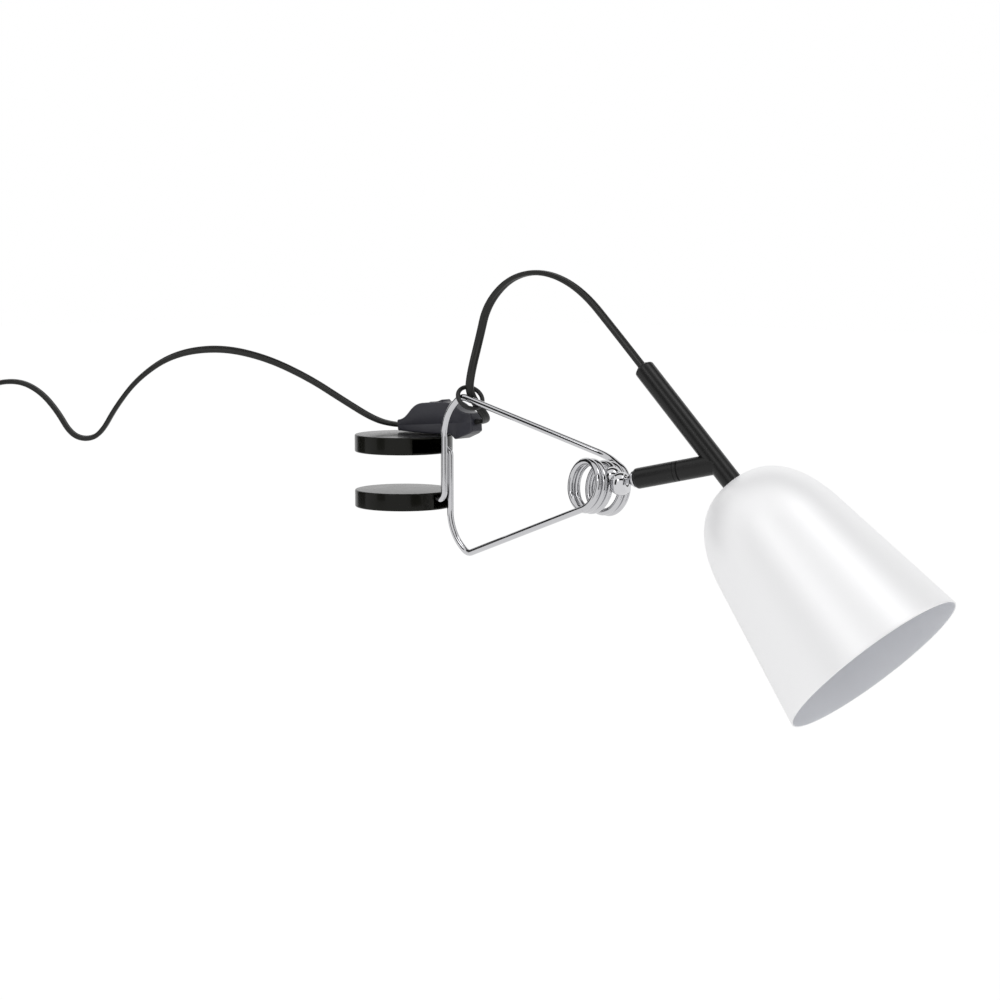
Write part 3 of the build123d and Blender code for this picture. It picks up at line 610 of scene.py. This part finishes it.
    def spline(self, name: str, points: Sequence[Point]) -> Array:
        """Smooth line of a route.

        Args:
            name: name for the curve that is measured.
            points: the route's control points.

        Returns:
            Points read from a NURBS spline.
        """
        curve = bpy.data.curves.new(name, "CURVE")
        curve.dimensions = "3D"
        curve.resolution_u = self.resolution
        line = curve.splines.new("NURBS")
        line.points.add(len(points) - 1)
        line.points.foreach_set("co", np.c_[np.array(points), np.ones(len(points))].ravel())
        line.order_u = self.order
        line.use_endpoint_u = True
        holder = bpy.data.objects.new(name, curve)
        bpy.context.scene.collection.objects.link(holder)
        bpy.context.view_layer.update()
        graph = bpy.context.evaluated_depsgraph_get()
        mesh = bpy.data.meshes.new_from_object(holder.evaluated_get(graph))
        found = np.zeros(len(mesh.vertices) * 3)
        mesh.vertices.foreach_get("co", found)
        bpy.data.objects.remove(holder)
        bpy.data.meshes.remove(mesh)
        found = found.reshape(-1, 3)
        keep = np.r_[True, np.linalg.norm(np.diff(found, axis=0), axis=1) > SAME_PLACE]
        return found[keep]

    def coil(self) -> list[Point]:
        """Control points of the wound turns.

        The first layer winds inwards, the second outwards on top of it. Each turn is a
        circle about the coil's middle, and in the last part of it the radius steps by one
        thickness, or the height by one layer, on a straight ramp. The winding ends half a
        turn later, where it runs on to the plug.
        """
        pitch = self.thickness + self.turn_gap
        lanes = np.array([*range(self.columns), *range(self.columns - 1, -1, -1), 0.0])
        layers = np.repeat([0.0, 1.0], [self.columns, self.columns + 1])
        steps = 2 * self.columns * self.points_a_turn + self.points_a_turn // 2
        turn = np.arange(steps + 1) / self.points_a_turn
        lane = turn.astype(int)
        after = np.minimum(lane + 1, len(lanes) - 1)
        ramp = np.clip((turn - lane - self.turn_straight) / (1 - self.turn_straight), 0, 1)
        column = lanes[lane] + (lanes[after] - lanes[lane]) * ramp
        layer = layers[lane] + (layers[after] - layers[lane]) * ramp
        start = radians(self.heading)
        ahead = np.array([cos(start), sin(start)])
        side = np.array([-sin(start), cos(start)])
        radius = self.coil_r + ((self.columns - 1) / 2 - column) * pitch
        angle = 2 * pi * turn[:, None]
        spoke = ahead * np.sin(angle) - side * np.cos(angle)
        flat = np.array(self.coil_spot[:2]) + radius[:, None] * spoke
        height = self.coil_spot[2] + self.width / 2 + layer * self.row_step
        return [tuple(point) for point in np.c_[flat, height].tolist()]

    def widths(self, path: Array, marks: Sequence[tuple[float, Point]]) -> Array:
        """Direction of the flex's width along a path.

        Args:
            path: points of the centre line.
            marks: shares of the length, each with the direction there.

        Returns:
            One direction for each point, straight between the marks.
        """
        run = run_along(path)
        shares = np.array([share for share, _ in marks]) * run[-1]
        ways = np.array([way for _, way in marks])
        return np.stack([np.interp(run, shares, ways[:, axis]) for axis in range(3)], 1)

    def build(self) -> None:
        """Makes and places both stretches of flex."""
        self.build_loop()
        self.build_lead()

    def build_loop(self) -> None:
        """The loop, in stretches that meet row on row and cross one joint each."""
        loop = self.spline("loop_line", self.loop)
        run = run_along(loop)
        widths = self.widths(loop, self.loop_widths)
        for name, first, last, near, far in self.stretches:
            low, high = (nearest(run, share * run[-1]) for share in (first, last))
            rows = slice(low, high + 1)
            piece = swept(name, loop, widths, self.section(), FLEX_BLACK, rows)
            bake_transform(piece)
            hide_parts("cord_loop")

    def build_lead(self) -> None:
        """The lead in one piece, with its coil and its run to the plug."""
        lead = self.spline("lead_line", [*self.lead, *self.coil(), *self.run_out])
        widths = self.widths(lead, self.lead_widths)
        lead_piece = swept("flex_lead", lead, widths, self.section(), FLEX_BLACK)
        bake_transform(lead_piece)
        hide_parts("cord_lead", "lead_coil")


# ------------------------------------------------------------------ spring clip
@dataclass
class SpringClip:
    """The bent and wound steel wire of the clip, as smooth round sections.

    Front, bridge and rear each hold a first angle, a last angle and a rise along the axis.
    The bends are the radii at the corners of either leg.
    """

    wire_r: float = 0.0019
    coil_r: float = 0.0131
    bends: tuple[float, ...] = (0.0026, 0.0044, 0.027, 0.006, 0.024)
    spot: Point = (0.1416, 0.0, -0.011)
    axis: Point = (0.2503505, 0.9542794, -0.1633260)
    across: Point = (0.9672678, -0.2537579, 0.0)
    low: float = -0.0108137
    front: tuple[float, float, float] = (-69.6, 720.0, 0.0086637)
    bridge: tuple[float, float, float] = (720.0, 780.0, 0.0049583)
    rear: tuple[float, float, float] = (780.0, 1509.6, 0.0080053)
    lean: Point = (-0.57, 0.57, 0.59)
    section_points: int = 28
    degrees_a_step: float = 5.0
    row_gap: float = 0.002
    least_gap: float = 2e-5
    lower: list[Point] = field(
        default_factory=lambda: [
            (0.004, 0.01365, 0.0036), (0.004, 0.00265, 0.0036), (0.0335, 0.00265, 0.0036),
            (0.0335, 0.00265, -0.0448), (0.0466, 0.00265, -0.0562),
            (0.129753, -0.011502, -0.026047), (0.142801, -0.013418, -0.021347),
        ]
    )
    upper: list[Point] = field(
        default_factory=lambda: [
            (0.004, -0.01365, -0.0256), (0.004, -0.00265, -0.0256), (0.0335, -0.00265, -0.0256),
            (0.0335, -0.00265, 0.0228), (0.0466, -0.00265, 0.0342), (0.136925, 0.015837, 0.004047),
            (0.149233, 0.011100, -0.000653),
        ]
    )

    def bent(self, corners: Sequence[Point], steps: int = 18) -> Array:
        """Centre line of a bent wire.

        Each corner is replaced by an arc that touches both runs: it starts the radius over
        the tangent of half the inner angle before the corner, and the point at a share of
        the turn is the arc's middle plus the first spoke turned by that share.

        Args:
            corners: ends and corners of the straight runs.
            steps: points on each arc.

        Returns:
            Points of the line, never further apart than the row gap.
        """
        spots = np.array(corners)
        back = unit(spots[:-2] - spots[1:-1])
        onward = unit(spots[2:] - spots[1:-1])
        half = np.arccos(np.clip(np.sum(back * onward, 1), -1, 1)) / 2
        radius = np.array(self.bends)
        middle = spots[1:-1] + unit(back + onward) * (radius / np.sin(half))[:, None]
        first = spots[1:-1] + back * (radius / np.tan(half))[:, None] - middle
        normal = unit(np.cross(onward, back))
        turn = (pi - 2 * half)[:, None] * np.linspace(0, 1, steps)[None]
        square = np.cross(normal, first)
        cosine, sine = np.cos(turn)[..., None], np.sin(turn)[..., None]
        arcs = middle[:, None] + cosine * first[:, None] + sine * square[:, None]
        line = np.vstack([spots[:1], arcs.reshape(-1, 3), spots[-1:]])
        run = run_along(line)
        even = np.union1d(run, np.arange(0, run[-1], self.row_gap))
        even = even[np.r_[True, np.diff(even) > self.least_gap]]
        return np.stack([np.interp(even, run, line[:, axis]) for axis in range(3)], 1)

    def wound(self, part: tuple[float, float, float], low: float) -> Array:
        """Centre line of some turns: a left-hand helix about the coil's axis.

        Args:
            part: first angle, last angle and rise.
            low: height of its first point.

        Returns:
            Points of the helix.
        """
        first, last, rise = part
        share = np.linspace(0, 1, int((last - first) / self.degrees_a_step) + 1)[:, None]
        angle = np.radians(first + (last - first) * share)
        up = unit(np.array(self.axis))
        one = np.array(self.across)
        two = np.cross(up, one)
        ring = self.coil_r * (np.cos(angle) * one - np.sin(angle) * two)
        return np.array(self.spot) + ring + (low + rise * share) * up

    def rod(self, name: str, line: Array, lean: Point, nodes: Sequence[str]) -> bpy.types.Object:
        """Round wire along a line, in place of some nodes.

        Args:
            name: the piece's name.
            line: its centre line.
            lean: a direction that is nowhere along the line.
            nodes: the nodes it stands for.

        Returns:
            The piece, not yet on a body.
        """
        across = np.broadcast_to(np.array(lean), line.shape)
        ring = round_section(self.wire_r, self.section_points)
        piece = swept(name, line, across, ring, CHROME)
        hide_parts(*nodes)
        LOG.info("%s: %d points along it", name, len(line))
        return piece

    def build(self) -> None:
        """Makes the two legs and the turns between them."""
        heights = np.cumsum([self.low, self.front[2], self.bridge[2]])
        front = self.wound(self.front, heights[0])
        turns = np.vstack([front, self.wound(self.bridge, heights[1])[1:]])
        lower = self.rod("wire_lower", self.bent(self.lower), self.lean, ["lower_leg"])
        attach(lower, Body.CLIP.value)
        middle = self.rod("wire_turns", turns, self.axis, ["front_coil", "coil_bridge"])
        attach(middle, Body.CLIP.value)
        upper = self.rod("wire_upper", self.bent(self.upper), self.lean, ["upper_leg"])
        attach(upper, Body.UPPER_LEG.value)
        rear = self.rod("wire_rear", self.wound(self.rear, heights[2]), self.axis, ["rear_coil"])
        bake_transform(rear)


# ------------------------------------------------------------------ shade
@dataclass
class BellShade:
    """The spun bell: a white outside, a duller inside and a thin open rim."""

    wall: float = 0.0008
    top_r: float = 0.0065
    hole_r: float = 0.0043
    bell_r: float = 0.0386
    bell_h: float = 0.0396
    mouth_r: float = 0.0515
    height: float = 0.119
    shoulder: float = 0.017
    flank: float = 0.024
    dome_rows: int = 60
    cone_rows: int = 40
    lip_rows: int = 7
    columns: int = 256

    def outline(self, depth: float) -> Array:
        """Heights and radii of one face, from the hole to the mouth.

        The dome is a cubic Bezier curve from the flat top to the cone: the point at t is
        the four control points weighted by (1-t)^3, 3t(1-t)^2, 3t^2(1-t) and t^3.

        Args:
            depth: distance inside the outer face.

        Returns:
            One row for each point: its height and its radius.
        """
        slope = unit(np.array([self.height - self.bell_h, self.mouth_r - self.bell_r]))
        inward = np.array([slope[1], -slope[0]]) * depth
        top = np.array([depth, self.top_r])
        end = np.array([self.bell_h, self.bell_r]) + inward
        pulls = [top, top + [0, self.shoulder], end - slope * self.flank, end]
        t = np.linspace(0, 1, self.dome_rows)[:, None]
        weights = [(1 - t) ** 3, 3 * t * (1 - t) ** 2, 3 * t**2 * (1 - t), t**3]
        dome = sum(w * p for w, p in zip(weights, pulls))
        mouth = np.array([self.height, self.mouth_r]) + inward
        share = np.linspace(0, 1, self.cone_rows)[1:, None]
        return np.vstack([[[depth, self.hole_r]], dome, end + (mouth - end) * share])

    def build(self, tube: Spindle) -> None:
        """Makes the shade on the end of its tube.

        Args:
            tube: axis of the tube, from its end where the shade's top lies.
        """
        outer = self.outline(0.0)
        inner = self.outline(self.wall)
        rim = (outer[-1] + inner[-1]) / 2
        angle = np.linspace(0, pi, self.lip_rows + 2)[1:-1, None]
        out_way = (outer[-1] - inner[-1]) / 2
        down_way = np.array([-out_way[1], out_way[0]])
        if down_way[0] < 0:
            down_way = -down_way
        lip = rim + np.cos(angle) * out_way + np.sin(angle) * down_way
        profile = np.vstack([outer, lip, inner[::-1]])
        points = tube.around(profile, self.columns)
        faces = grid_faces(len(profile), self.columns)
        here = np.arange(self.columns)
        follow = (here + 1) % self.columns
        last = (len(profile) - 1) * self.columns
        closing = np.stack([last + here, last + follow, follow, here], 1)
        faces = np.vstack([faces, closing])
        piece = mesh_piece("shade_shell", points, faces, SHADE_WHITE)
        piece.data.materials.append(SHADE_INSIDE.material())
        row = np.arange(len(faces)) // self.columns
        inside = (row >= len(outer) + len(lip) - 1).astype(np.int32)
        piece.data.polygons.foreach_set("material_index", inside)
        fix_normals(piece)
        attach(piece, Body.HEAD.value)
        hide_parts("shade")
        LOG.info("shade_shell: %d faces", len(faces))


def fix_normals(piece: bpy.types.Object) -> None:
    """Turns a closed piece's faces outwards."""
    work = bmesh.new()
    work.from_mesh(piece.data)
    bmesh.ops.recalc_face_normals(work, faces=work.faces)
    work.to_mesh(piece.data)
    work.free()


# ------------------------------------------------------------------ dressed nodes
@dataclass
class CadDress:
    """Finishes of the nodes whose shape is right as it is, with the width of a rounding."""

    finishes: dict[str, tuple[Finish, float]] = field(
        default_factory=lambda: {
            "upper_pad": (PAD_BLACK, 0.0), "lower_pad": (PAD_BLACK, 0.0),
            "socket_body": (JOINT_CHROME, 0.0), "ball_stud": (JOINT_CHROME, 0.0),
            "joint_collar": (JOINT_CHROME, 0.0), "ball_seat": (NYLON, 0.0),
            "grub_screw": (STEEL, 0.0), "stud_nut": (ARM_BLACK, 0.0),
            "stub_base": (ARM_BLACK, 0.0), "tee_stub": (ARM_BLACK, 0.0),
            "arm_tube": (ARM_BLACK, 0.0),
            "swivel_sleeve": (BRASS, 0.0), "swivel_washer": (NYLON, 0.0),
            "cord_bush": (RUBBER, 0.0), "nipple": (STEEL, 0.0), "shade_washer": (STEEL, 0.0),
            "lock_nut": (STEEL, 0.0), "holder_cap": (HOLDER, 0.0), "holder_body": (HOLDER, 0.0003),
            "holder_terminals": (BRASS, 0.0), "contact_sleeve": (BRASS, 0.0),
            "centre_contact": (BRASS, 0.0),
            "inner_lead": (FLEX_BLACK, 0.0), "switch_cover": (SWITCH_BLUE, 0.0008),
            "switch_base": (SWITCH_BLUE, 0.0008), "switch_screws": (STEEL, 0.0),
            "switch_rocker": (SWITCH_BLUE, 0.0004), "rocker_pin": (STEEL, 0.0),
            "cord_ring": (RUBBER, 0.0), "coil_tie": (RUBBER, 0.0),
            "plug_body": (PLUG_BLACK, 0.0012), "plug_strain": (PLUG_BLACK, 0.0),
            "plug_pins": (NICKEL, 0.0),
        }
    )

    def build(self) -> None:
        """Dresses each node."""
        for name, (finish, bevel) in self.finishes.items():
            smooth_cad(name, finish, bevel)
            LOG.info("%s: %s", name, finish.name)


# ------------------------------------------------------------------ studio
@dataclass(frozen=True)
class Panel:
    """A soft box or a card: its name, middle, width and height, and its watts if it is lit."""

    name: str
    spot: Point
    size: tuple[float, float]
    watts: float = 0.0


@dataclass
class Studio:
    """Floor, world, lamps, black cards and camera."""

    eye: Point = (0.87493, -0.95589, 0.12119)
    azimuth: float = 40.0
    pitch: float = -6.6
    lens: float = 80.69
    floor_z: float = -0.20
    floor_size: float = 6.0
    floor_glow: float = 1.03
    glow_share: float = 0.9
    target: Point = (0.12, 0.0, 0.0)
    sky: float = 0.92
    sensor: float = 36.0
    sight: float = 60.0
    windows: tuple[Panel, ...] = (
        Panel("window_left", (0.23, -1.25, 0.95), (0.42, 0.5), 2.0),
        Panel("window_top", (0.80, -0.02, 1.38), (0.4, 0.5), 1.9),
    )
    flags: tuple[Panel, ...] = (
        Panel("flag_near", (1.65, -0.55, 0.1), (0.8, 2.2)),
        Panel("flag_left", (-1.0, -0.22, 0.0), (0.66, 1.8)),
        Panel("flag_right", (0.62, 1.15, 0.0), (0.36, 1.8)),
        Panel("flag_high", (1.10, -1.25, 1.60), (3.6, 0.7)),
        Panel("flag_top", (-0.25, 0.60, 1.70), (3.0, 1.0)),
        Panel("flag_front_left", (-0.35, -1.60, 0.2), (0.6, 2.0)),
    )

    def camera(self) -> None:
        """Makes the camera, level and turned to its azimuth."""
        data = bpy.data.cameras.new("camera")
        data.lens = self.lens
        data.sensor_width = self.sensor
        data.clip_end = self.sight
        camera = bpy.data.objects.new("camera", data)
        bpy.context.scene.collection.objects.link(camera)
        camera.location = self.eye
        camera.rotation_euler = (radians(90 + self.pitch), 0.0, radians(self.azimuth))
        bpy.context.scene.camera = camera

    def world(self) -> None:
        """White to the camera and in reflections, a softer level as light."""
        world = bpy.data.worlds.new("studio")
        bpy.context.scene.world = world
        world.use_nodes = True
        tree = world.node_tree
        tree.nodes.clear()
        level = seen_directly(tree) * (1.0 - self.sky) + self.sky
        background = tree.nodes.new("ShaderNodeBackground")
        background.inputs["Color"].default_value = WHITE
        tree.links.new(level.out, background.inputs["Strength"])
        output = tree.nodes.new("ShaderNodeOutputWorld")
        tree.links.new(background.outputs[0], output.inputs["Surface"])

    def floor(self) -> None:
        """A pale plain floor that keeps the lamp's shadow faintly."""
        signs = ((-1, -1), (1, -1), (1, 1), (-1, 1))
        spots = [(x * self.floor_size, y * self.floor_size, self.floor_z) for x, y in signs]
        mesh = bpy.data.meshes.new("floor")
        mesh.from_pydata(spots, [], [[0, 1, 2, 3]])
        box = Paintbox("floor_white")
        shader = box.node("BsdfPrincipled", Base_Color=FLOOR_WHITE, Roughness=0.7)
        glow = box.node("Emission", Color=WHITE, Strength=self.floor_glow)
        mixed = box.node("MixShader", Fac=seen_directly(box.tree) * self.glow_share)
        box.tree.links.new(shader.outputs[0], mixed.inputs[1])
        box.tree.links.new(glow.outputs[0], mixed.inputs[2])
        output = box.node("OutputMaterial")
        box.tree.links.new(mixed.outputs[0], output.inputs["Surface"])
        mesh.materials.append(box.material)
        floor = bpy.data.objects.new("floor", mesh)
        bpy.context.scene.collection.objects.link(floor)

    def window(self, panel: Panel) -> None:
        """One soft box that faces the lamp.

        Args:
            panel: its place, size and watts.
        """
        data = bpy.data.lights.new(panel.name, "AREA")
        data.shape = "RECTANGLE"
        data.size, data.size_y = panel.size
        data.energy = panel.watts
        lamp = bpy.data.objects.new(panel.name, data)
        lamp.location = panel.spot
        way = Vector(self.target) - Vector(panel.spot)
        lamp.rotation_mode = "QUATERNION"
        lamp.rotation_quaternion = way.to_track_quat("-Z", "Y")
        bpy.context.scene.collection.objects.link(lamp)

    def flag(self, panel: Panel) -> None:
        """A black card that faces the lamp, seen only in its polished parts.

        Args:
            panel: its place and size.
        """
        middle = Vector(panel.spot)
        away = (middle - Vector(self.target)).normalized()
        side = Vector((-away.y, away.x, 0.0)).normalized()
        up = away.cross(side) * (panel.size[1] / 2)
        side *= panel.size[0] / 2
        corners = [middle - side - up, middle + side - up, middle + side + up, middle - side + up]
        mesh = bpy.data.meshes.new(panel.name)
        mesh.from_pydata([tuple(corner) for corner in corners], [], [[0, 1, 2, 3]])
        box = Paintbox(panel.name)
        mesh.materials.append(box.finish(Base_Color=CARD_BLACK, Roughness=0.9))
        card = bpy.data.objects.new(panel.name, mesh)
        card.visible_camera = False
        card.visible_diffuse = False
        card.visible_shadow = False
        card.visible_transmission = False
        bpy.context.scene.collection.objects.link(card)

    def build(self) -> None:
        """Builds the whole studio."""
        self.camera()
        self.world()
        self.floor()
        for panel in self.windows:
            self.window(panel)
        for panel in self.flags:
            self.flag(panel)
        bpy.context.scene.view_settings.view_transform = "Standard"


def main() -> None:
    """Builds the lamp's looks in order and reports each piece."""
    logging.basicConfig(level=logging.INFO, format="%(name)s: %(message)s")
    Studio().build()
    Flex().build()
    SpringClip().build()
    CadDress().build()
    tube = Spindle(Vector(TUBE_CROSSING), Vector(TUBE_AHEAD))
    BellShade().build(Spindle(tube.at(TUBE_DOWN), tube.axis))


if __name__ == "__main__":
    main()
